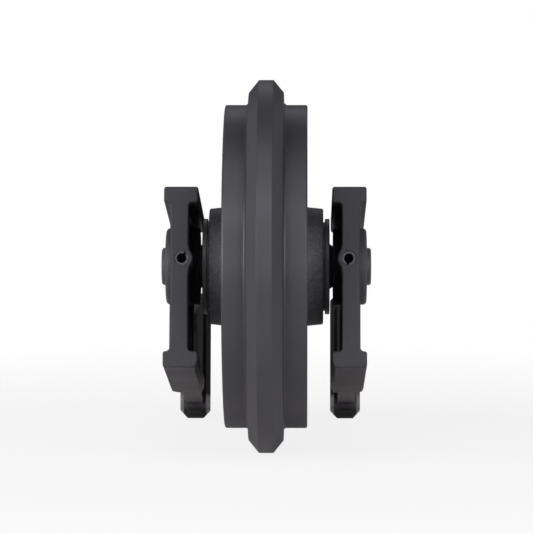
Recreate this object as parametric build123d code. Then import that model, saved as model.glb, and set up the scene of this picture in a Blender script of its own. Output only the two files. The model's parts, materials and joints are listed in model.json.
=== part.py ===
from build123d import *
import math
import os

os.makedirs("parts", exist_ok=True)

# Front idler for a small rubber or steel track. Millimetres.
# X runs along the axle, the closed front of the brackets faces -Y, +Z is up.
# The origin is the wheel's centre on the axle. The idler stands on level ground on
# the wheel's flange and the two arm tips, so the brackets lean rear end down.

# Wheel: one casting, guide flange in the middle, a tread on each side of it
flange_r = 195.0
flange_land_w = 15.3
shoulder_r = 182.0
shoulder_w = 36.3
flange_foot_w = 37.3
foot_fillet_r = 2.6
tread_r = 169.0
tread_w = 85.8
tread_edge_r = 2.2
rim_wall = 20.0
rim_draft = 4.0
web_w = 20.0
web_blend_r = 11.0
hub_wall = 12.5
hub_draft = 5.1
hub_w = 118.6
hub_edge_r = 1.6
rib_count = 6
rib_root_w = 12.0
rib_crest_w = 8.0
rib_hub_drop = 10.8
rib_rim_drop = 12.0
rib_bury = 5.0

# Axle, bushes and the oil space between them
axle_r = 19.5
axle_stub = 4.7
axle_chamfer = 1.6
bush_wall = 4.5
bush_w = 34.0
bush_set_back = 0.6
oil_space_deep = 2.5
gallery_r = 3.0
gallery_rise = 4.5
gallery_past_middle = 6.0
plug_r = 6.0
plug_w = 10.0
plug_set_in = 1.0
plug_socket_sides = 6
plug_socket_across = 5.0
plug_socket_deep = 6.0

# Floating face seals: a hub seat and a collar seat of one size, face to face
seal_plane_in = 5.8
seal_seat_r = 41.0
seal_seat_deep = 9.0
seal_lip_gap = 0.9
seal_ring_wall = 5.7
seal_ring_flange_gap = 2.5
seal_ring_flange_w = 3.0
seal_ring_end_gap = 0.7
toric_section_r = 2.7

# Collar discs between the hub and the brackets
collar_gap = 1.8
collar_step = 3.5
collar_w = 4.8
collar_edge_r = 0.8
collar_nose_w = 5.5
collar_nose_gap = 1.5
collar_boss_w = 3.6
collar_boss_wall = 1.8
collar_boss_draft = 2.5
oring_section_r = 1.1
oring_side_gap = 0.4

# Brackets, laid out level: Y rearward and Z up from the axle
shoe_front_y = -102.7
shoe_inset = 1.5
shoe_w = 35.0
shoe_corner_r = 2.6
top_shoe_z = 65.0
top_shoe_h = 16.5
top_shoe_rear_y = 76.0
top_rear_cut_y = 26.0
top_rear_cut_x = 9.0
bottom_shoe_z = -120.5
bottom_shoe_h = 16.7
bottom_shoe_rear_y = 100.0
bottom_rear_cut_y = 12.0
bottom_rear_cut_x = 8.5
bottom_in_chamfer_x = 3.0
bottom_in_chamfer_z = 6.0
bottom_out_chamfer_x = 1.4
bottom_out_chamfer_z = 3.0
post_from_inner = 8.3
post_w = 18.6
post_blend_r = 3.8
post_t = 19.0
front_edge_r = 1.6
web_rear_y = 50.0
pocket_floor_w = 10.4
pocket_rear_y = 29.0
pocket_margin = 0.6
pocket_corner_r = 8.0
boss_wall = 20.5
boss_w = 35.1
boss_edge_r = 4.0

# Arms from the brackets to the bolting pads at the rear
arm_bottom_z = -106.0
arm_top_start_z = -46.0
arm_top_drop = 7.0
arm_blend_r = 22.0
arm_flange_w = 12.0
arm_dish_deep = 6.0
arm_dish_corner_r = 11.0
arm_dish_draft_deg = 20.0
window_front_y = 73.0
window_l = 51.0
window_top_z = -45.0
window_h = 36.0
window_corner_r = 9.0
pad_front_y = 318.0
pad_bevel_l = 14.0
pad_bevel_in = 4.2
pad_rear_y = 350.0
pad_w = 34.4
pad_top_z = 8.5
pad_bottom_z = -119.0
pad_chamfer_in = 8.0
pad_chamfer_up = 8.5

# Tapped holes in the pads: M16, tapping size
pad_hole_r = 7.0
pad_hole_deep = 30.0
pad_hole_spacing = 72.0

# Spring pins that lock the axle in the brackets
pin_r = 7.0
pin_wall = 2.0
pin_l = 120.0
pin_slit = 2.6
pin_from_inner = 15.2
pin_cover = 3.8
pin_set_in = 1.0
pin_boss_r = 11.0
pin_boss_blend_r = 30.0
pin_tail_room = 2.0
pin_left_slit_deg = 55.0
pin_right_slit_deg = -100.0

# Fits, radial unless said otherwise, and how far a cut runs past what it cuts
fixed_fit = 0.03
running_fit = 0.05
soft_fit = 0.2
face_fit = 0.05
cut_past = 1.0

# Places that follow from the sizes above
collar_nose_r = seal_seat_r + collar_nose_w
collar_r = collar_nose_r + collar_step
hub_mouth_r = collar_nose_r + collar_nose_gap
hub_end_r = hub_mouth_r + hub_wall
hub_root_r = hub_end_r + hub_draft
seal_ring_body_r = seal_seat_r - (toric_section_r + soft_fit) * 2
seal_ring_bore_r = seal_ring_body_r - seal_ring_wall
seal_ring_flange_r = seal_seat_r - seal_ring_flange_gap
hub_x = hub_w / 2
seal_plane_x = hub_x - seal_plane_in
web_x = web_w / 2
tread_x = tread_w / 2
bush_outer_r = axle_r + running_fit + bush_wall
hub_bore_r = bush_outer_r + fixed_fit
hub_seat_floor_x = seal_plane_x - seal_seat_deep
collar_seat_floor_x = seal_plane_x + seal_seat_deep
hub_mouth_floor_x = seal_plane_x - seal_lip_gap
collar_nose_x = seal_plane_x + seal_lip_gap
collar_in_x = hub_x + collar_gap
collar_out_x = collar_in_x + collar_w
bracket_in_x = collar_out_x + collar_boss_w
collar_bore_r = axle_r + fixed_fit
collar_boss_end_r = axle_r + collar_boss_wall
collar_boss_root_r = collar_boss_end_r + collar_boss_draft
toric_r = seal_ring_body_r + soft_fit + toric_section_r
oring_x = (collar_seat_floor_x + bracket_in_x) / 2
oring_r = axle_r - oring_section_r
oring_groove_r = oring_r - oring_section_r - fixed_fit
shoe_in_x = bracket_in_x - shoe_inset
shoe_out_x = shoe_in_x + shoe_w
top_low_z = top_shoe_z - top_shoe_h
bottom_high_z = bottom_shoe_z + bottom_shoe_h
post_in_x = bracket_in_x + post_from_inner
post_out_x = post_in_x + post_w
pad_mid_x = bracket_in_x + pad_w / 2
boss_out_x = bracket_in_x + boss_w
axle_w = (boss_out_x + axle_stub) * 2
pin_x = bracket_in_x + pin_from_inner
pin_z = pin_cover + pin_r - axle_r
boss_bore_r = axle_r + fixed_fit
boss_r = axle_r + boss_wall
pin_hole_r = pin_r + fixed_fit
pin_front_y = shoe_front_y + pin_set_in
pin_hole_end_y = pin_front_y + pin_l + pin_tail_room
pocket_front_y = shoe_front_y + post_t
pad_seat_y = pad_front_y + pad_bevel_l
dish_front_y = window_front_y + window_l + arm_flange_w
dish_rear_y = pad_front_y - arm_flange_w
dish_low_z = arm_bottom_z + arm_flange_w

# The lean that lets the flange and the rear lower edge of the pads share the ground
pad_reach = math.hypot(pad_rear_y, pad_bottom_z)
pad_dip = math.degrees(math.atan2(-pad_bottom_z, pad_rear_y))
lean_deg = math.degrees(math.asin(flange_r / pad_reach)) - pad_dip
lean = Rotation(-lean_deg, 0, 0)
swap_sides = Plane.YZ


def ring_of(points):
    """Turn a closed outline of (along the axle, radius) points about the axle."""
    return revolve(make_face(Polyline(*points, close=True)), Axis.X)


def corners_at(face, places):
    """The corners of a flat outline that lie at the given (x, y) places."""
    return [min(face.vertices(), key=lambda v: math.hypot(v.X - x, v.Y - y)) for x, y in places]


def both_sides(places):
    """The places and their mirror images across the wheel's middle."""
    return places + [(-x, r) for x, r in places]


def rim_inner_r(x):
    """Inside of the rim, drafted so that it opens towards the side."""
    return tread_r - rim_wall - rim_draft * (tread_x - x) / tread_x


def hub_outer_r(x):
    """Outside of the hub, drafted from the web to the end face."""
    return hub_root_r - (hub_root_r - hub_end_r) * (x - web_x) / (hub_x - web_x)


def make_wheel():
    foot = (flange_foot_w / 2, tread_r)
    tread_edge = (tread_x, tread_r)
    rim_edge = (tread_x, rim_inner_r(tread_x))
    web_top = (web_x, rim_inner_r(web_x))
    web_foot = (web_x, hub_outer_r(web_x))
    hub_edge = (hub_x, hub_end_r)
    half = [
        (flange_land_w / 2, flange_r),
        (shoulder_w / 2, shoulder_r),
        foot,
        tread_edge,
        rim_edge,
        web_top,
        web_foot,
        hub_edge,
        (hub_x, hub_mouth_r),
        (hub_mouth_floor_x, hub_mouth_r),
        (hub_mouth_floor_x, seal_seat_r),
        (hub_seat_floor_x, seal_seat_r),
        (hub_seat_floor_x, hub_bore_r),
    ]
    outline = make_face(Polyline(*half, *[(-x, r) for x, r in reversed(half)], close=True))
    outline = fillet(corners_at(outline, both_sides([web_top, web_foot])), web_blend_r)
    outline = fillet(corners_at(outline, both_sides([foot])), foot_fillet_r)
    outline = fillet(corners_at(outline, both_sides([tread_edge, rim_edge])), tread_edge_r)
    outline = fillet(corners_at(outline, both_sides([hub_edge])), hub_edge_r)
    wheel = revolve(outline, Axis.X)

    # Drafted ribs between hub and rim, on both sides of the web
    hub_crest_x = tread_x - rib_hub_drop
    rim_crest_x = tread_x - rib_rim_drop
    rib_in_r = hub_end_r - rib_bury
    rib_out_r = rim_inner_r(rim_crest_x) + rib_bury
    root = Plane.YZ.offset(web_x - rib_bury)
    rib_mid_r = (rib_in_r + rib_out_r) / 2
    rib_l = rib_out_r - rib_in_r
    foot_face = root * Pos(0, rib_mid_r) * Rectangle(rib_root_w, rib_l)
    crest_face = Plane.YZ.offset(hub_crest_x) * Pos(0, rib_mid_r) * Rectangle(rib_crest_w, rib_l)
    rib = loft([foot_face, crest_face])
    slope = Polyline(
        (hub_crest_x, rib_in_r),
        (rim_crest_x, rib_out_r),
        (hub_x, rib_out_r),
        (hub_x, rib_in_r),
        close=True,
    )
    rib -= extrude(make_face(slope), rib_root_w, both=True)
    for turn in range(rib_count):
        one = Rotation(360 / rib_count * turn, 0, 0) * rib
        wheel += one
        wheel += mirror(one, swap_sides)

    # Bore for the bushes, relieved in the middle as an oil space
    relief_x = hub_seat_floor_x - bush_set_back - bush_w
    wheel -= Rotation(0, 90, 0) * Cylinder(hub_bore_r, hub_w)
    wheel -= Rotation(0, 90, 0) * Cylinder(hub_bore_r + oil_space_deep, relief_x * 2)
    return wheel


def make_bush():
    outer_x = hub_seat_floor_x - bush_set_back
    inner_x = outer_x - bush_w
    bore_r = axle_r + running_fit
    return ring_of(
        [(inner_x, bore_r), (outer_x, bore_r), (outer_x, bush_outer_r), (inner_x, bush_outer_r)]
    )


def make_seal_ring(side):
    """One metal face ring; side is -1 for the hub's ring and +1 for the collar's."""
    face_x = seal_plane_x + side * face_fit / 2
    back_x = seal_plane_x + side * (seal_seat_deep - seal_ring_end_gap)
    step_x = face_x + side * seal_ring_flange_w
    return ring_of(
        [
            (face_x, seal_ring_bore_r),
            (face_x, seal_ring_flange_r),
            (step_x, seal_ring_flange_r),
            (step_x, seal_ring_body_r),
            (back_x, seal_ring_body_r),
            (back_x, seal_ring_bore_r),
        ]
    )


def make_toric(side):
    """The rubber ring that carries a metal face ring in its seat."""
    x = seal_plane_x + side * (seal_seat_deep - soft_fit - toric_section_r)
    return Pos(x, 0, 0) * Rotation(0, 90, 0) * Torus(toric_r, toric_section_r)


def make_collar():
    outline = make_face(
        Polyline(
            (collar_seat_floor_x, collar_bore_r),
            (collar_seat_floor_x, seal_seat_r),
            (collar_nose_x, seal_seat_r),
            (collar_nose_x, collar_nose_r),
            (collar_in_x, collar_nose_r),
            (collar_in_x, collar_r),
            (collar_out_x, collar_r),
            (collar_out_x, collar_boss_root_r),
            (bracket_in_x, collar_boss_end_r),
            (bracket_in_x, collar_bore_r),
            close=True,
        )
    )
    rim = corners_at(outline, [(collar_in_x, collar_r), (collar_out_x, collar_r)])
    return revolve(fillet(rim, collar_edge_r), Axis.X)


def make_oring():
    return Pos(oring_x, 0, 0) * Rotation(0, 90, 0) * Torus(oring_r, oring_section_r)


def make_axle():
    """Plain shaft, level layout; the oil gallery runs above the spring pins."""
    along = Rotation(0, 90, 0)
    shaft = along * Cylinder(axle_r, axle_w)
    shaft = chamfer(shaft.edges().filter_by(GeomType.CIRCLE), axle_chamfer)
    groove_w = (oring_section_r + oring_side_gap) * 2
    groove = Cylinder(axle_r + cut_past, groove_w) - Cylinder(oring_groove_r, groove_w)
    pin_hole_l = (axle_r + cut_past) * 2
    pin_hole = Pos(pin_x, 0, pin_z) * Rotation(90, 0, 0) * Cylinder(pin_hole_r, pin_hole_l)
    for side in (-1, 1):
        shaft -= Pos(side * oring_x, 0, 0) * along * groove
    shaft -= pin_hole + mirror(pin_hole, swap_sides)
    gallery_l = axle_w / 2 + gallery_past_middle
    gallery_mid_x = gallery_past_middle - gallery_l / 2
    shaft -= Pos(gallery_mid_x, 0, gallery_rise) * along * Cylinder(gallery_r, gallery_l)
    outlet_l = axle_r * 2
    shaft -= Pos(0, 0, gallery_rise + outlet_l / 2) * Cylinder(gallery_r, outlet_l)
    seat_l = plug_w + plug_set_in
    seat_mid_x = -axle_w / 2 + seat_l / 2
    shaft -= Pos(seat_mid_x, 0, gallery_rise) * along * Cylinder(plug_r + fixed_fit, seat_l)
    return shaft


def make_plug():
    """Socket-head oil plug in the left end of the axle, level layout."""
    mid_x = -axle_w / 2 + plug_set_in + plug_w / 2
    plug = Rotation(0, 90, 0) * Cylinder(plug_r, plug_w)
    socket_r = plug_socket_across / 2
    hexagon = RegularPolygon(socket_r, plug_socket_sides, major_radius=False)
    socket = extrude(hexagon, plug_socket_deep)
    plug -= Pos(-plug_w / 2, 0, 0) * Rotation(0, 90, 0) * socket
    return Pos(mid_x, 0, gallery_rise) * plug


def make_pin(slit_deg):
    """Split spring pin along Y, level layout, with its slit turned to slit_deg."""
    tube = Circle(pin_r) - Circle(pin_r - pin_wall)
    tube -= Rotation(0, 0, slit_deg) * Pos(pin_r, 0) * Rectangle(pin_r * 2, pin_slit)
    plane = Plane(origin=(pin_x, pin_front_y, pin_z), x_dir=(1, 0, 0), z_dir=(0, -1, 0))
    return extrude(plane * tube, -pin_l)


def front_section():
    """Shoes and post as one I-shaped section, seen from the front."""
    shoe_tips = [
        (shoe_in_x, top_shoe_z),
        (shoe_out_x, top_shoe_z),
        (shoe_out_x, top_low_z),
        (shoe_out_x, bottom_high_z),
        (shoe_in_x, bottom_high_z),
        (shoe_in_x, top_low_z),
    ]
    post_feet = [
        (post_out_x, top_low_z),
        (post_out_x, bottom_high_z),
        (post_in_x, bottom_high_z),
        (post_in_x, top_low_z),
    ]
    outline = make_face(
        Polyline(
            *shoe_tips[:3],
            *post_feet[:2],
            shoe_tips[3],
            (shoe_out_x, bottom_shoe_z + bottom_out_chamfer_z),
            (shoe_out_x - bottom_out_chamfer_x, bottom_shoe_z),
            (shoe_in_x + bottom_in_chamfer_x, bottom_shoe_z),
            (shoe_in_x, bottom_shoe_z + bottom_in_chamfer_z),
            shoe_tips[4],
            *post_feet[2:],
            shoe_tips[5],
            close=True,
        )
    )
    outline = fillet(corners_at(outline, post_feet), post_blend_r)
    return fillet(corners_at(outline, shoe_tips), shoe_corner_r)


def swell_for_pin(outline):
    """Widen the post round the spring pin, with long blends into its inner side."""
    outline += Pos(pin_x, pin_z) * Circle(pin_boss_r)
    rise = math.sqrt(pin_boss_r**2 - (pin_x - post_in_x) ** 2)
    meets = [(post_in_x, pin_z - rise), (post_in_x, pin_z + rise)]
    return fillet(corners_at(outline, meets), pin_boss_blend_r)


def along_y(face, from_y, to_y):
    """Carry a front-view outline from one station to another along the bracket."""
    plane = Plane(origin=(0, from_y, 0), x_dir=(1, 0, 0), z_dir=(0, -1, 0))
    return extrude(plane * face, from_y - to_y)


def across_x(points, from_x, to_x, corner_r=0, corners=(), draft_deg=0):
    """Carry a side-view outline of (y, z) points across the bracket's thickness."""
    face = make_face(Polyline(*points, close=True))
    if corners:
        face = fillet(corners_at(face, corners), corner_r)
    return extrude(Plane.YZ.offset(from_x) * face, to_x - from_x, taper=draft_deg)


def arm_top_z(y):
    """Top edge of the arm, a straight rise from its heel to the pad."""
    rise = (pad_top_z - arm_top_drop - arm_top_start_z) / (pad_seat_y - web_rear_y)
    return arm_top_start_z + rise * (y - web_rear_y)


def pad_outline(inset):
    """Eight-sided end view of a bolting pad, drawn in by inset all round."""
    half_w = pad_w / 2 - inset
    low = pad_bottom_z + inset
    high = pad_top_z - inset
    flat = half_w - pad_chamfer_in
    points = [
        (flat, high),
        (half_w, high - pad_chamfer_up),
        (half_w, low + pad_chamfer_up),
        (flat, low),
        (-flat, low),
        (-half_w, low + pad_chamfer_up),
        (-half_w, high - pad_chamfer_up),
        (-flat, high),
    ]
    return Pos(pad_mid_x, 0) * make_face(Polyline(*points, close=True))


def shoe_tail(section, low_z, high_z, rear_y, cut_x, cut_y):
    """One shoe behind the web, its outer rear corner cut off."""
    band = Pos(0, (low_z + high_z) / 2) * Rectangle(shoe_out_x * 2, high_z - low_z)
    tail = along_y(section & band, web_rear_y, rear_y)
    corner = Polyline(
        (shoe_out_x, rear_y - cut_y),
        (shoe_out_x - cut_x, rear_y),
        (shoe_out_x, rear_y),
        close=True,
    )
    return tail - extrude(Plane.XY.offset(low_z) * make_face(corner), high_z - low_z)


def make_bracket():
    """Right-hand bracket with its arm and bolting pad, level layout."""
    section = front_section()
    front = along_y(swell_for_pin(section), shoe_front_y, pocket_front_y)
    front = fillet(front.faces().sort_by(Axis.Y)[0].edges(), front_edge_r)
    body = front + along_y(section, pocket_front_y, web_rear_y)
    body += shoe_tail(section, top_low_z, top_shoe_z, top_shoe_rear_y, top_rear_cut_x, top_rear_cut_y)
    body += shoe_tail(
        section,
        bottom_shoe_z,
        bottom_high_z,
        bottom_shoe_rear_y,
        bottom_rear_cut_x,
        bottom_rear_cut_y,
    )

    # Pockets in the inner side, behind the post and round the boss
    pocket_x = post_out_x - pocket_floor_w
    pocket_low_z = bottom_high_z + pocket_margin
    pocket_high_z = top_low_z - pocket_margin
    pocket = [
        (pocket_front_y, pocket_low_z),
        (pocket_rear_y, pocket_low_z),
        (pocket_rear_y, pocket_high_z),
        (pocket_front_y, pocket_high_z),
    ]
    body -= across_x(pocket, shoe_in_x - cut_past, pocket_x, pocket_corner_r, pocket)

    # Arm: deep at the pad, its top edge falling towards the boss
    heel = (web_rear_y, arm_top_start_z)
    arm = [
        (pad_seat_y, arm_bottom_z),
        (pad_seat_y, arm_top_z(pad_seat_y)),
        heel,
        (web_rear_y, top_low_z + shoe_corner_r),
        (pocket_rear_y, top_low_z + shoe_corner_r),
        (pocket_rear_y, arm_bottom_z),
    ]
    arm_body = across_x(arm, post_in_x, post_out_x, arm_blend_r, [heel])
    window_mid_y = window_front_y + window_l / 2
    window_mid_z = window_top_z - window_h / 2
    window_plane = Plane.YZ.offset(post_in_x - cut_past)
    window = window_plane * Pos(window_mid_y, window_mid_z) * RectangleRounded(
        window_l, window_h, window_corner_r
    )
    arm_body -= extrude(window, post_w + cut_past * 2)

    # Outer side of the arm, dished between its top and bottom flanges
    dish = [
        (dish_front_y, dish_low_z),
        (dish_rear_y, dish_low_z),
        (dish_rear_y, arm_top_z(dish_rear_y) - arm_flange_w),
        (dish_front_y, arm_top_z(dish_front_y) - arm_flange_w),
    ]
    dish_floor_x = post_out_x - arm_dish_deep
    arm_body -= across_x(dish, post_out_x, dish_floor_x, arm_dish_corner_r, dish, arm_dish_draft_deg)
    body += arm_body

    # Boss round the axle and the drilled boss that takes the spring pin
    boss = Pos(bracket_in_x + boss_w / 2, 0, 0) * Rotation(0, 90, 0) * Cylinder(boss_r, boss_w)
    outer_edge = boss.edges().filter_by(GeomType.CIRCLE).sort_by(Axis.X)[-1]
    body += fillet(outer_edge, boss_edge_r)
    body += along_y(Pos(pin_x, pin_z) * Circle(pin_boss_r), shoe_front_y, 0)

    # Bolting pad, bevelled all round where it meets the arm
    front_plane = Plane(origin=(0, pad_front_y, 0), x_dir=(1, 0, 0), z_dir=(0, -1, 0))
    seat_plane = Plane(origin=(0, pad_seat_y, 0), x_dir=(1, 0, 0), z_dir=(0, -1, 0))
    bevel = loft([front_plane * pad_outline(pad_bevel_in), seat_plane * pad_outline(0)])
    body += bevel + along_y(pad_outline(0), pad_seat_y, pad_rear_y)

    # Holes: axle, spring pin, tapped holes in the pad
    boss_mid = Pos(bracket_in_x + boss_w / 2, 0, 0) * Rotation(0, 90, 0)
    body -= boss_mid * Cylinder(boss_bore_r, boss_w + cut_past * 2)
    body -= along_y(Pos(pin_x, pin_z) * Circle(pin_hole_r), shoe_front_y, pin_hole_end_y)
    pad_mid_z = (pad_top_z + pad_bottom_z) / 2
    for place in (-pad_hole_spacing / 2, pad_hole_spacing / 2):
        hole = Pos(pad_mid_x, pad_mid_z + place) * Circle(pad_hole_r)
        body -= along_y(hole, pad_rear_y - pad_hole_deep, pad_rear_y)
    return body


wheel = make_wheel()
bush = make_bush()
hub_ring = make_seal_ring(-1)
collar_ring = make_seal_ring(1)
hub_toric = make_toric(-1)
collar_toric = make_toric(1)
collar = make_collar()
oring = make_oring()
bracket = make_bracket()

nodes = {
    "idler_wheel": wheel,
    "bush_right": bush,
    "bush_left": mirror(bush, swap_sides),
    "seal_ring_hub_right": hub_ring,
    "seal_ring_hub_left": mirror(hub_ring, swap_sides),
    "seal_ring_collar_right": collar_ring,
    "seal_ring_collar_left": mirror(collar_ring, swap_sides),
    "toric_hub_right": hub_toric,
    "toric_hub_left": mirror(hub_toric, swap_sides),
    "toric_collar_right": collar_toric,
    "toric_collar_left": mirror(collar_toric, swap_sides),
    "collar_right": collar,
    "collar_left": mirror(collar, swap_sides),
    "axle_oring_right": oring,
    "axle_oring_left": mirror(oring, swap_sides),
    "axle": lean * make_axle(),
    "oil_plug": lean * make_plug(),
    "bracket_right": lean * bracket,
    "bracket_left": lean * mirror(bracket, swap_sides),
    "spring_pin_right": lean * make_pin(pin_right_slit_deg),
    "spring_pin_left": lean * mirror(make_pin(180 - pin_left_slit_deg), swap_sides),
}

for name, solid in nodes.items():
    export_step(solid, f"parts/{name}.step")
print("lean", round(lean_deg, 3), "deg; nodes", len(nodes))
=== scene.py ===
import json
import math

import bmesh
import bpy
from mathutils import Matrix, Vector


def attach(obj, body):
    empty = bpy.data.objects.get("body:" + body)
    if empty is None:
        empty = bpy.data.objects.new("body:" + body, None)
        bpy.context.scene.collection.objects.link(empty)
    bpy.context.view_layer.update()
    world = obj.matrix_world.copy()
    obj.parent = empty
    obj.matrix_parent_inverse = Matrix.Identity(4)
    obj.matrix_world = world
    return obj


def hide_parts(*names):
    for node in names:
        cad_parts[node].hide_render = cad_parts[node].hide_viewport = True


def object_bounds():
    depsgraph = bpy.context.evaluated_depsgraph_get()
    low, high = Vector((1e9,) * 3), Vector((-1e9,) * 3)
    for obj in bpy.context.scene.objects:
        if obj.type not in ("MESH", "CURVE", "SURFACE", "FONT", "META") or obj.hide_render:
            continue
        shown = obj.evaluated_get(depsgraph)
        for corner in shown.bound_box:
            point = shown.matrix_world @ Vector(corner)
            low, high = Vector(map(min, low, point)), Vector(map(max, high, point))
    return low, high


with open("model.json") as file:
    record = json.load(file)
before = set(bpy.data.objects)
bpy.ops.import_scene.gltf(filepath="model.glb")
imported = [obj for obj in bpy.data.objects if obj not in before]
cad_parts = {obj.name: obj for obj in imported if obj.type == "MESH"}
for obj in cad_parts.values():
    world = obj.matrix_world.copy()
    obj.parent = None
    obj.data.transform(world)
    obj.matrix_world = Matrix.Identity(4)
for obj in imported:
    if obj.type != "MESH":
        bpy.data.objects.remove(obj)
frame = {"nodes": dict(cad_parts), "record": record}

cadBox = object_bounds()
nodes = frame["nodes"]
padHoles = [mount for mount in frame["record"]["mounts"] if mount["name"].startswith("pad_hole")]
padCentre = abs(padHoles[0]["pos_m"][0])
holeAxis = Vector(padHoles[0]["axis"]).normalized()
armWay = holeAxis if holeAxis.y > 0.0 else -holeAxis  # rearward in the brackets' own lean
armUp = Vector((1.0, 0.0, 0.0)).cross(armWay)


def startMaterial(name):
    mat = bpy.data.materials.new(name)
    mat.use_nodes = True
    tree = mat.node_tree
    tree.nodes.clear()
    out = tree.nodes.new("ShaderNodeOutputMaterial")
    shader = tree.nodes.new("ShaderNodeBsdfPrincipled")
    tree.links.new(shader.outputs[0], out.inputs["Surface"])
    return mat, tree, shader


def addNode(tree, kind, inputs=None, **props):
    node = tree.nodes.new(kind)
    for key, value in props.items():
        setattr(node, key, value)
    for key, value in (inputs or {}).items():
        if hasattr(value, "is_output"):
            tree.links.new(value, node.inputs[key])
        else:
            node.inputs[key].default_value = value
    return node


noises = {
    "broad": (9.0, 3.0, 0.55),  # scale per metre, detail and roughness
    "waves": (38.0, 2.0, 0.5),
    "speck": (210.0, 3.0, 0.6),
    "grain": (420.0, 5.0, 0.62),
    "turned": (900.0, 2.0, 0.5),
    "rings": (1400.0, 2.0, 0.5),
    "cloud": (60.0, 3.0, 0.5),
    "fine": (500.0, 3.0, 0.5),
}


def noiseAt(tree, coords, kind):
    scale, detail, rough = noises[kind]
    inputs = {"Vector": coords, "Scale": scale, "Detail": detail, "Roughness": rough}
    return addNode(tree, "ShaderNodeTexNoise", inputs).outputs["Fac"]


def ramp(tree, value, low, high, toLow=0.0, toHigh=1.0):
    inputs = {"Value": value, "From Min": low, "From Max": high, "To Min": toLow, "To Max": toHigh}
    return addNode(tree, "ShaderNodeMapRange", inputs).outputs["Result"]


def calc(tree, operation, first, second=0.0):
    return addNode(tree, "ShaderNodeMath", {0: first, 1: second}, operation=operation).outputs[0]


def mixColor(tree, factor, first, second):
    inputs = {0: factor, 6: first, 7: second}
    return addNode(tree, "ShaderNodeMix", inputs, data_type="RGBA").outputs[2]


def alongAxle(tree, coords):
    split = addNode(tree, "ShaderNodeSeparateXYZ", {0: coords})
    inputs = {"X": split.outputs["X"], "Y": 0.0, "Z": 0.0}
    return addNode(tree, "ShaderNodeCombineXYZ", inputs).outputs[0]


def placeValues(tree, coords):
    split = addNode(tree, "ShaderNodeSeparateXYZ", {0: coords}).outputs
    squares = calc(tree, "ADD", calc(tree, "POWER", split["Y"], 2.0), calc(tree, "POWER", split["Z"], 2.0))
    out = calc(tree, "ABSOLUTE", split["X"])
    along = addNode(tree, "ShaderNodeVectorMath", {0: coords, 1: armWay}, operation="DOT_PRODUCT")
    level = addNode(tree, "ShaderNodeVectorMath", {0: coords, 1: armUp}, operation="DOT_PRODUCT")
    return {
        "out": out,
        "along": along.outputs["Value"],
        "level": level.outputs["Value"],
        "radius": calc(tree, "SQRT", squares),
        "fromPad": calc(tree, "ABSOLUTE", calc(tree, "SUBTRACT", out, padCentre)),
    }


def zoneMask(tree, places, limits):
    mask = 1.0
    for key, nothing, full in limits:
        mask = calc(tree, "MULTIPLY", mask, ramp(tree, places[key], nothing, full))
    return mask


paintSteps = {
    "deep": (0.35, 0.7),  # where each noise starts and ends to show
    "dust": (0.55, 0.8),
    "gloss": (0.3, 0.7),
    "patches": (0.80, 1.16),  # of speck and grain added together
    "turn": (0.985, 0.86),  # the paint is rubbed thin where the form turns sharply
    "rubbed": (0.38, 0.62, 0.25, 1.0),
    "shinier": -0.04,  # how far the roughness wanders to each side
    "duller": 0.05,
    "pitScale": 231.0,
    "bumpHeight": 0.001,
    "edgeSamples": 6,
}


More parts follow.
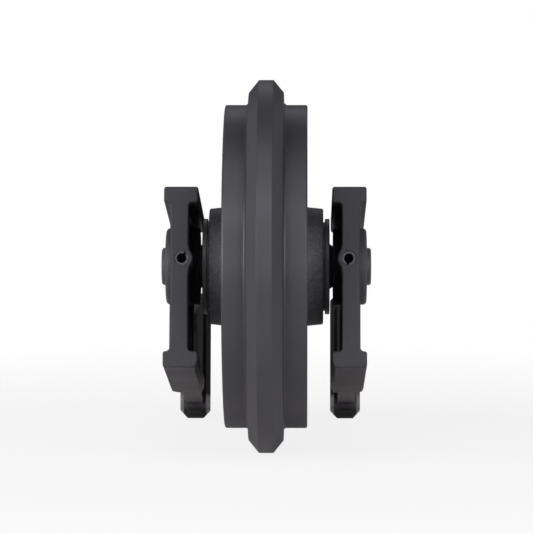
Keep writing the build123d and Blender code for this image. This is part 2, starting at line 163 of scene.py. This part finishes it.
def paintMaterial(name, look):
    mat, tree, shader = startMaterial(name)
    coords = addNode(tree, "ShaderNodeTexCoord").outputs["Object"]
    places = placeValues(tree, coords)
    broad = noiseAt(tree, coords, "broad")
    speck = noiseAt(tree, coords, "speck")
    waves = noiseAt(tree, coords, "waves")
    grain = noiseAt(tree, coords, "grain")
    pitInputs = {"Vector": coords, "Scale": paintSteps["pitScale"]}
    pits = addNode(tree, "ShaderNodeTexVoronoi", pitInputs, feature="SMOOTH_F1").outputs["Distance"]

    tint = mixColor(tree, ramp(tree, broad, *paintSteps["deep"]), look["colour"], look["deepColour"])
    dust = calc(tree, "MULTIPLY", ramp(tree, speck, *paintSteps["dust"]), look["dust"])
    tint = mixColor(tree, dust, tint, look["dustColour"])
    shinier = look["rough"] + paintSteps["shinier"]
    duller = look["rough"] + paintSteps["duller"]
    gloss = ramp(tree, broad, *paintSteps["gloss"], shinier, duller)
    mottle = calc(tree, "ADD", speck, grain)
    patches = ramp(tree, mottle, *paintSteps["patches"])
    coarse = 1.0
    for zone in look["zones"]:
        mask = zoneMask(tree, places, zone["limits"])
        zoneTint = mixColor(tree, patches, zone["deepColour"], zone["colour"])
        tint = mixColor(tree, mask, tint, zoneTint)
        gloss = addNode(tree, "ShaderNodeMix", {0: mask, 2: gloss, 3: zone["rough"]}).outputs[0]
        coarse = addNode(tree, "ShaderNodeMix", {0: mask, 2: coarse, 3: zone["coarse"]}).outputs[0]

    height = calc(tree, "MULTIPLY", grain, look["grain"])
    height = calc(tree, "ADD", height, calc(tree, "MULTIPLY", pits, look["pits"]))
    height = calc(tree, "ADD", height, calc(tree, "MULTIPLY", waves, look["waves"]))
    if look["turned"]:
        lines = noiseAt(tree, alongAxle(tree, coords), "turned")
        height = calc(tree, "ADD", height, calc(tree, "MULTIPLY", lines, look["turned"]))
    height = calc(tree, "MULTIPLY", height, coarse)
    bevel = addNode(tree, "ShaderNodeBevel", {"Radius": look["edge"]}, samples=paintSteps["edgeSamples"])
    soft = bevel.outputs[0]
    bumpInputs = {
        "Strength": look["bump"],
        "Distance": paintSteps["bumpHeight"],
        "Height": height,
        "Normal": soft,
    }
    bump = addNode(tree, "ShaderNodeBump", bumpInputs).outputs[0]

    plain = addNode(tree, "ShaderNodeNewGeometry").outputs["Normal"]
    turn = addNode(tree, "ShaderNodeVectorMath", {0: soft, 1: plain}, operation="DOT_PRODUCT")
    edge = ramp(tree, turn.outputs["Value"], *paintSteps["turn"])
    edge = calc(tree, "MULTIPLY", edge, ramp(tree, waves, *paintSteps["rubbed"]))
    edge = calc(tree, "MULTIPLY", edge, look["wear"])
    tint = mixColor(tree, edge, tint, look["edgeColour"])

    tree.links.new(tint, shader.inputs["Base Color"])
    tree.links.new(gloss, shader.inputs["Roughness"])
    tree.links.new(bump, shader.inputs["Normal"])
    shader.inputs["Specular IOR Level"].default_value = look["specular"]
    return mat


bareSteps = {
    "window": (0.3, 0.7),  # where the noise starts and ends to show
    "metalSpread": 0.12,  # how much duller the dullest spot is
    "rubberSpread": 0.13,
    "bump": 0.2,
    "bumpHeight": 0.0004,
}


def metalMaterial(name, look):
    mat, tree, shader = startMaterial(name)
    coords = addNode(tree, "ShaderNodeTexCoord").outputs["Object"]
    rings = noiseAt(tree, alongAxle(tree, coords), "rings")
    cloud = noiseAt(tree, coords, "cloud")
    tint = mixColor(tree, ramp(tree, cloud, *bareSteps["window"]), look["colour"], look["second"])
    tree.links.new(tint, shader.inputs["Base Color"])
    duller = look["rough"] + bareSteps["metalSpread"]
    gloss = ramp(tree, rings, *bareSteps["window"], look["rough"], duller)
    tree.links.new(gloss, shader.inputs["Roughness"])
    bumpInputs = {"Strength": bareSteps["bump"], "Distance": bareSteps["bumpHeight"], "Height": rings}
    bump = addNode(tree, "ShaderNodeBump", bumpInputs).outputs[0]
    tree.links.new(bump, shader.inputs["Normal"])
    shader.inputs["Metallic"].default_value = 1.0
    return mat


def rubberMaterial(name, look):
    mat, tree, shader = startMaterial(name)
    coords = addNode(tree, "ShaderNodeTexCoord").outputs["Object"]
    fine = noiseAt(tree, coords, "fine")
    tree.links.new(mixColor(tree, fine, look["colour"], look["second"]), shader.inputs["Base Color"])
    duller = look["rough"] + bareSteps["rubberSpread"]
    gloss = ramp(tree, fine, *bareSteps["window"], look["rough"], duller)
    tree.links.new(gloss, shader.inputs["Roughness"])
    return mat


hubSkin = {  # the hub keeps the rougher skin of the sand mould
    "limits": [("radius", 0.085, 0.074)],  # a place, where the zone ends and where it is full
    "colour": (0.110, 0.1122, 0.1185, 1.0),
    "deepColour": (0.065, 0.0662, 0.0700, 1.0),
    "rough": 0.50,
    "coarse": 5.0,
}
armInsidePaintedShade = {  # painted shade: the bracket's inner side, where wheel and bracket shade each other, is painted near black and dull
    "limits": [
        ("out", 0.0800, 0.0785),
        ("along", -0.092, -0.080),
        ("level", 0.0500, 0.0485),
        ("level", -0.101, -0.099),
    ],
    "colour": (0.005, 0.005, 0.0056, 1.0),
    "deepColour": (0.004, 0.004, 0.0045, 1.0),
    "rough": 0.9,
    "coarse": 1.0,
}
padFootPaintedHighlight = {  # painted highlight: the bevels round the pad's foot are painted light, standing in for the light they catch from the sides and the floor
    "limits": [("fromPad", 0.0124, 0.0134), ("level", -0.093, -0.098), ("along", 0.30, 0.31)],
    "colour": (0.14, 0.1345, 0.127, 1.0),
    "deepColour": (0.10, 0.096, 0.091, 1.0),
    "rough": 0.42,
    "coarse": 0.6,
}
padSolePaintedShade = {  # painted shade: between those painted highlights the foot is painted near black, standing in for its shadow near the ground
    "limits": [("fromPad", 0.0134, 0.0124), ("level", -0.108, -0.112), ("along", 0.30, 0.31)],
    "colour": (0.006, 0.006, 0.006, 1.0),
    "deepColour": (0.005, 0.005, 0.005, 1.0),
    "rough": 0.9,
    "coarse": 1.0,
}
bossRim = {  # the axle boss is machined and its paint is thinner
    "limits": [("out", 0.0975, 0.0990), ("radius", 0.050, 0.045)],
    "colour": (0.060, 0.059, 0.064, 1.0),
    "deepColour": (0.054, 0.053, 0.058, 1.0),
    "rough": 0.5,
    "coarse": 0.4,
}
wheelLook = {
    "zones": [hubSkin],
    "colour": (0.040, 0.0393, 0.0436, 1.0),
    "deepColour": (0.031, 0.0305, 0.034, 1.0),
    "dustColour": (0.070, 0.068, 0.071, 1.0),
    "edgeColour": (0.085, 0.083, 0.086, 1.0),
    "grain": 0.10,
    "pits": 0.04,
    "waves": 0.25,
    "turned": 0.05,
    "bump": 0.35,
    "edge": 0.0008,
    "dust": 0.2,
    "wear": 0.25,
    "rough": 0.40,
    "specular": 0.5,
}
# the bracket's zones paint shade on its inner side and foot, and paint highlights on the foot's bevels
bracketLook = dict(
    wheelLook,
    zones=[armInsidePaintedShade, padFootPaintedHighlight, padSolePaintedShade, bossRim],
    colour=(0.025, 0.0247, 0.0280, 1.0),
    deepColour=(0.020, 0.0197, 0.0223, 1.0),
    dustColour=(0.045, 0.044, 0.046, 1.0),
    grain=0.40,
    pits=0.22,
    waves=0.5,
    turned=0.0,
    bump=0.6,
    edge=0.0018,
    wear=0.5,
    rough=0.48,
    specular=0.34,
)
axleLook = dict(
    wheelLook,
    zones=[],
    colour=(0.095, 0.0942, 0.0990, 1.0),
    grain=0.08,
    pits=0.0,
    waves=0.15,
    bump=0.3,
    edge=0.0006,
    rough=0.38,
)
bronzeLook = {
    "colour": (0.50, 0.30, 0.12, 1.0),
    "second": (0.42, 0.25, 0.10, 1.0),
    "rough": 0.3,
}
alloyLook = {
    "colour": (0.38, 0.37, 0.36, 1.0),
    "second": (0.30, 0.30, 0.30, 1.0),
    "rough": 0.22,
}
steelLook = {
    "colour": (0.23, 0.225, 0.22, 1.0),
    "second": (0.15, 0.145, 0.14, 1.0),
    "rough": 0.34,
}
nitrileLook = {
    "colour": (0.012, 0.012, 0.012, 1.0),
    "second": (0.022, 0.021, 0.021, 1.0),
    "rough": 0.55,
}

wheelPaint = paintMaterial("wheelPaint", wheelLook)
bracketPaint = paintMaterial("bracketPaint", bracketLook)
axlePaint = paintMaterial("axlePaint", axleLook)
bronze = metalMaterial("bronze", bronzeLook)
faceAlloy = metalMaterial("faceAlloy", alloyLook)
threadSteel = metalMaterial("threadSteel", steelLook)
nitrile = rubberMaterial("nitrile", nitrileLook)

looksOf = {
    "idler_wheel": wheelPaint,
    "bracket": bracketPaint,
    "axle": axlePaint,
    "oil_plug": axlePaint,
    "collar": axlePaint,
    "spring_pin": axlePaint,
    "bush": bronze,
    "seal_ring": faceAlloy,
    "toric": nitrile,
    "axle_oring": nitrile,
}
for nodeName, obj in nodes.items():
    best = max((key for key in looksOf if nodeName.startswith(key)), key=len)
    for slot in obj.material_slots:
        slot.material = looksOf[best]
print("materials on the frame")

armCrest = {
    "rise": 0.0165,  # the castings stand this much higher at the pads than their plain solids
    "front": (0.050, -0.046),  # the arm's top edge, along and level in the bracket's own lean
    "rear": (0.318, 0.0015),
    "deep": 0.008,  # below this depth nothing rises
    "shallow": 0.002,  # and above this one all of it does
    "weld": 0.000001,  # the copy's split corners are merged first
}


def raisedBracket(node, name):
    mesh = nodes[node].data.copy()
    shape = bmesh.new()
    shape.from_mesh(mesh)
    bmesh.ops.remove_doubles(shape, verts=shape.verts, dist=armCrest["weld"])
    (frontAlong, frontLevel), (rearAlong, rearLevel) = armCrest["front"], armCrest["rear"]
    deep, shallow = armCrest["deep"], armCrest["shallow"]
    farthest = max(cadBox[0][1], cadBox[1][1])  # the pad's rear face stays in its plane
    for vert in shape.verts:
        along = (vert.co.dot(armWay) - frontAlong) / (rearAlong - frontAlong)
        below = frontLevel + (rearLevel - frontLevel) * min(along, 1.0) - vert.co.dot(armUp)
        share = min(max((deep - below) / (deep - shallow), 0.0), 1.0)
        if along > 0.0 and share > 0.0:
            vert.co += armUp * armCrest["rise"] * min(along, 1.0) * share
            vert.co.y = min(vert.co.y, farthest)
    shape.to_mesh(mesh)
    shape.free()
    casting = bpy.data.objects.new(name, mesh)
    bpy.context.collection.objects.link(casting)
    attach(casting, "axle_and_brackets")
    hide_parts(node)
    return casting


for side in ("right", "left"):
    casting = raisedBracket("bracket_" + side, "bracket_casting_" + side)
    print("casting", side, len(casting.data.polygons))


def startGraph(name, sockets):
    graph = bpy.data.node_groups.new(name, "GeometryNodeTree")
    graph.interface.new_socket("Geometry", in_out="INPUT", socket_type="NodeSocketGeometry")
    ids = {}
    for label, kind in sockets.items():
        socket = graph.interface.new_socket(label, in_out="INPUT", socket_type=kind)
        ids[label] = socket.identifier
    graph.interface.new_socket("Geometry", in_out="OUTPUT", socket_type="NodeSocketGeometry")
    return graph, ids, graph.nodes.new("NodeGroupInput"), graph.nodes.new("NodeGroupOutput")


def bakeGraph(name, points, graph, ids, values):
    mesh = bpy.data.meshes.new(name + "Points")
    mesh.from_pydata(points, [], [])
    obj = bpy.data.objects.new(name, mesh)
    bpy.context.collection.objects.link(obj)
    modifier = obj.modifiers.new("graph", "NODES")
    modifier.node_group = graph
    for label, value in values.items():
        modifier[ids[label]] = value
    bpy.context.view_layer.update()
    shown = obj.evaluated_get(bpy.context.evaluated_depsgraph_get())
    plainMesh = bpy.data.meshes.new_from_object(shown)
    obj.modifiers.remove(modifier)
    obj.data = plainMesh
    return obj


threadLook = {
    "holeRadius": 0.007,
    "pitch": 0.002,
    "turns": 12.0,
    "ridge": 0.00062,
    "ridgeSides": 4,
    "pointsPerTurn": 40,
    "firstTurn": 0.0022,  # from the pad's face to the first crest
}


def threadGraph():
    sockets = {
        "Hole Radius": "NodeSocketFloat",
        "Ridge": "NodeSocketFloat",
        "Ridge Sides": "NodeSocketInt",
        "Turns": "NodeSocketFloat",
        "Length": "NodeSocketFloat",
        "Points Per Turn": "NodeSocketInt",
        "Turned To": "NodeSocketVector",
        "Material": "NodeSocketMaterial",
    }
    graph, ids, given, result = startGraph("tappedThreads", sockets)
    spiral = addNode(
        graph,
        "GeometryNodeCurveSpiral",
        {
            "Resolution": given.outputs["Points Per Turn"],
            "Rotations": given.outputs["Turns"],
            "Start Radius": given.outputs["Hole Radius"],
            "End Radius": given.outputs["Hole Radius"],
            "Height": given.outputs["Length"],
        },
    )
    profile = addNode(
        graph,
        "GeometryNodeCurvePrimitiveCircle",
        {"Resolution": given.outputs["Ridge Sides"], "Radius": given.outputs["Ridge"]},
    )
    swept = addNode(
        graph,
        "GeometryNodeCurveToMesh",
        {"Curve": spiral.outputs[0], "Profile Curve": profile.outputs[0], "Fill Caps": True},
    )
    placed = addNode(
        graph,
        "GeometryNodeInstanceOnPoints",
        {
            "Points": given.outputs["Geometry"],
            "Instance": swept.outputs[0],
            "Rotation": given.outputs["Turned To"],
        },
    )
    real = addNode(graph, "GeometryNodeRealizeInstances", {0: placed.outputs[0]})
    coloured = addNode(
        graph,
        "GeometryNodeSetMaterial",
        {"Geometry": real.outputs[0], "Material": given.outputs["Material"]},
    )
    graph.links.new(coloured.outputs[0], result.inputs[0])
    return graph, ids


mouth = 0.5 * padHoles[0]["dims"]["length_mm"] / 1000.0  # the mount's point is halfway down the hole
threadLength = threadLook["turns"] * threadLook["pitch"]
startAt = mouth - threadLook["firstTurn"] - threadLength
graph, ids = threadGraph()
for side in ("right", "left"):
    holes = [hole for hole in padHoles if side in hole["name"]]
    threads = bakeGraph(
        "pad_threads_" + side,
        [tuple(Vector(hole["pos_m"]) + holeAxis * startAt) for hole in holes],
        graph,
        ids,
        {
            "Hole Radius": threadLook["holeRadius"],
            "Ridge": threadLook["ridge"],
            "Ridge Sides": threadLook["ridgeSides"],
            "Turns": threadLook["turns"],
            "Length": threadLength,
            "Points Per Turn": threadLook["pointsPerTurn"],
            "Turned To": holeAxis.to_track_quat("Z", "Y").to_euler(),
            "Material": threadSteel,
        },
    )
    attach(threads, "axle_and_brackets")
    print("threads", side, len(threads.data.polygons))

floorLook = {
    "half": 7.0,
    "colour": (0.93, 0.90, 0.88, 1.0),
    "bodyNear": 0.17,  # how solid the floor is to the camera
    "solidNear": 1.0,  # and to all other light
    "nearRadius": 0.45,
    "farRadius": 1.3,
    "glow": 0.19,  # behind the idler the floor sends up more light than the camera sees
    "glowFrom": 0.05,
    "glowTo": 0.18,
    "glowColour": (1.0, 0.86, 0.84, 1.0),
}
low = min(cadBox[0][2], cadBox[1][2])
half = floorLook["half"]
floorMesh = bpy.data.meshes.new("floor")
corners = [(-half, -half, low), (half, -half, low), (half, half, low), (-half, half, low)]
floorMesh.from_pydata(corners, [], [(0, 1, 2, 3)])
floor = bpy.data.objects.new("floor", floorMesh)
bpy.context.collection.objects.link(floor)
floorMat, tree, shader = startMaterial("paleFloor")
shader.inputs["Base Color"].default_value = floorLook["colour"]
shader.inputs["Roughness"].default_value = 1.0
shader.inputs["Specular IOR Level"].default_value = 0.0
coords = addNode(tree, "ShaderNodeTexCoord").outputs["Object"]
away = addNode(tree, "ShaderNodeVectorMath", {0: coords}, operation="LENGTH").outputs["Value"]
reach = (floorLook["nearRadius"], floorLook["farRadius"])
body = ramp(tree, away, *reach, floorLook["bodyNear"], 0.0)
solid = ramp(tree, away, *reach, floorLook["solidNear"], 0.0)
paths = tree.nodes.new("ShaderNodeLightPath")
fade = addNode(tree, "ShaderNodeMix", {0: paths.outputs["Is Camera Ray"], 2: solid, 3: body}).outputs[0]
tree.links.new(fade, shader.inputs["Alpha"])  # fades into the white air around it
rearward = addNode(tree, "ShaderNodeSeparateXYZ", {0: coords}).outputs["Y"]
glow = ramp(tree, rearward, floorLook["glowFrom"], floorLook["glowTo"], 0.0, floorLook["glow"])
glow = calc(tree, "MULTIPLY", glow, calc(tree, "SUBTRACT", 1.0, paths.outputs["Is Camera Ray"]))
shader.inputs["Emission Color"].default_value = floorLook["glowColour"]
tree.links.new(glow, shader.inputs["Emission Strength"])
floorMesh.materials.append(floorMat)

airLook = {
    "left": 0.60,
    "right": 0.46,
    "sideFrom": 0.6,  # how far out a direction points where the pale walls begin
    "sideTo": 0.8,
    "lowZ": 0.4,
    "highZ": 0.6,  # and how high they reach
    "shine": 0.05,  # how much of the background a sheen mirrors where no wall stands
}
world = bpy.data.worlds.new("studio")
world.use_nodes = True
bpy.context.scene.world = world
tree = world.node_tree
tree.nodes.clear()
paths = tree.nodes.new("ShaderNodeLightPath")
towards = addNode(tree, "ShaderNodeTexCoord").outputs["Generated"]
parts = addNode(tree, "ShaderNodeSeparateXYZ", {0: towards}).outputs
leftWall = ramp(tree, parts["X"], -airLook["sideFrom"], -airLook["sideTo"], 0.0, airLook["left"])
rightWall = ramp(tree, parts["X"], airLook["sideFrom"], airLook["sideTo"], 0.0, airLook["right"])
walls = calc(tree, "ADD", leftWall, rightWall)
walls = calc(tree, "MULTIPLY", walls, ramp(tree, parts["Z"], airLook["highZ"], airLook["lowZ"]))
seen = calc(tree, "MAXIMUM", paths.outputs["Is Camera Ray"], paths.outputs["Is Transmission Ray"])
shine = calc(tree, "MULTIPLY", paths.outputs["Is Glossy Ray"], airLook["shine"])
strength = calc(tree, "MAXIMUM", calc(tree, "MAXIMUM", seen, walls), shine)
back = addNode(tree, "ShaderNodeBackground", {"Color": (1.0, 1.0, 1.0, 1.0), "Strength": strength})
worldOut = tree.nodes.new("ShaderNodeOutputWorld")
tree.links.new(back.outputs[0], worldOut.inputs[0])

lamps = [
    {"name": "leftPanel", "azimuth": -35.0, "elevation": 15.0, "size": (1.4, 2.0), "power": 48.0},
    {"name": "leftSide", "azimuth": -60.0, "elevation": 15.0, "size": (1.6, 2.0), "power": 28.0},
    {"name": "leftLow", "azimuth": -14.0, "elevation": 7.0, "size": (0.95, 0.9), "power": 8.2},
    {"name": "rightPanel", "azimuth": 35.0, "elevation": 15.0, "size": (1.4, 2.0), "power": 46.0},
    {"name": "rightLow", "azimuth": 14.0, "elevation": 7.0, "size": (0.95, 0.9), "power": 5.0},
    {"name": "frontTop", "azimuth": 0.0, "elevation": 40.0, "size": (0.95, 1.1), "power": 11.0},
    {"name": "overhead", "azimuth": 0.0, "elevation": 68.0, "size": (2.5, 1.6), "power": 14.0},
    {"name": "behind", "azimuth": 180.0, "elevation": 40.0, "size": (2.5, 1.2), "power": 5.0},
    {"name": "rearLeft", "azimuth": -143.0, "elevation": 8.0, "size": (1.2, 1.2), "power": 6.0},
    {"name": "rearRight", "azimuth": 143.0, "elevation": 8.0, "size": (1.2, 1.2), "power": 6.0},
]
lampLook = {"distance": 3.3, "colour": (0.98, 0.97, 1.05)}


def standOff(azimuth, elevation, distance):
    az, el = math.radians(azimuth), math.radians(elevation)
    return distance * Vector((math.sin(az) * math.cos(el), -math.cos(az) * math.cos(el), math.sin(el)))


for lamp in lamps:
    data = bpy.data.lights.new(lamp["name"], "AREA")
    data.shape = "RECTANGLE"
    data.size, data.size_y = lamp["size"]
    data.energy = lamp["power"]
    data.color = lampLook["colour"]
    obj = bpy.data.objects.new(lamp["name"], data)
    obj.location = standOff(lamp["azimuth"], lamp["elevation"], lampLook["distance"])
    obj.rotation_euler = (-obj.location).to_track_quat("-Z", "Y").to_euler()
    bpy.context.collection.objects.link(obj)

view = {"azimuth": 0.8, "elevation": 3.36, "distance": 2.9837, "lens": 192.3, "sensor": 36.0}
cameraData = bpy.data.cameras.new("camera")
cameraData.lens = view["lens"]
cameraData.sensor_width = view["sensor"]
camera = bpy.data.objects.new("camera", cameraData)
camera.location = standOff(view["azimuth"], view["elevation"], view["distance"])
camera.rotation_euler = (-camera.location).to_track_quat("-Z", "Y").to_euler()
bpy.context.collection.objects.link(camera)
bpy.context.scene.camera = camera
bpy.context.scene.view_settings.view_transform = "Standard"
print("stage set")
